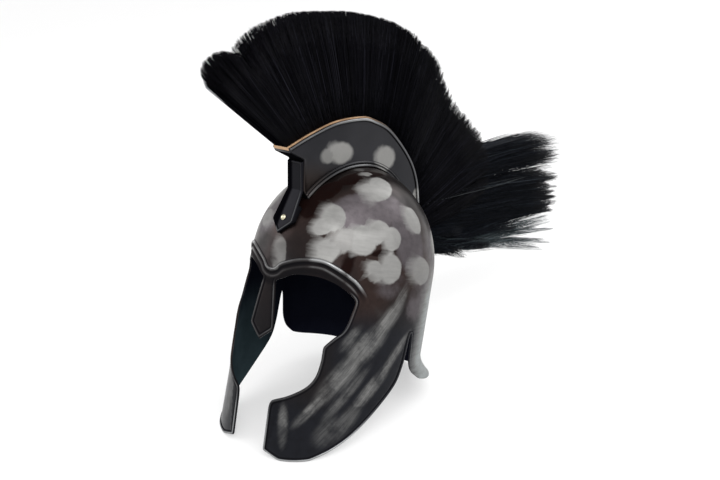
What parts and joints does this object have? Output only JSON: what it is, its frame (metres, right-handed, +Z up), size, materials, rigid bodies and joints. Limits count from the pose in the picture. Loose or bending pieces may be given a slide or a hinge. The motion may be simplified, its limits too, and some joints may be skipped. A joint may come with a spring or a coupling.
{
  "type": "crested hoplite helmet",
  "caption": "One-piece steel helmet with cheek pieces, nasal, eye openings and neck guard, under a raised crest holder with a horsehair crest and tail.",
  "frame": {"origin": "middle of the overall box, on the surface that the helmet rests on", "axes": "+Z up at rest, the face looks along -Y, +X is the wearer's left; the helmet leans back 19 degrees on its cheek tips and neck-guard lip"},
  "size_m": [0.2106, 0.6216, 0.4431],
  "materials": {
    "dark_steel": "blackened and oiled, with hand-buffed bright patches",
    "slate_steel": "slate grey, satin, with buffed patches and a bright rim edge",
    "strap_steel": "blackened, satin",
    "pale_brass": "worn pale brass",
    "copper_strip": "copper-brown, satin",
    "horsehair": "black stiff horsehair"
  },
  "bodies": {
    "root": {"helmet_shell": "dark_steel", "crest_holder": "slate_steel", "front_strap": "strap_steel", "front_rivet": "pale_brass", "crest_base_block": "copper_strip", "crest_plume": "horsehair", "crest_tail": "horsehair"}
  },
  "joints": []
}
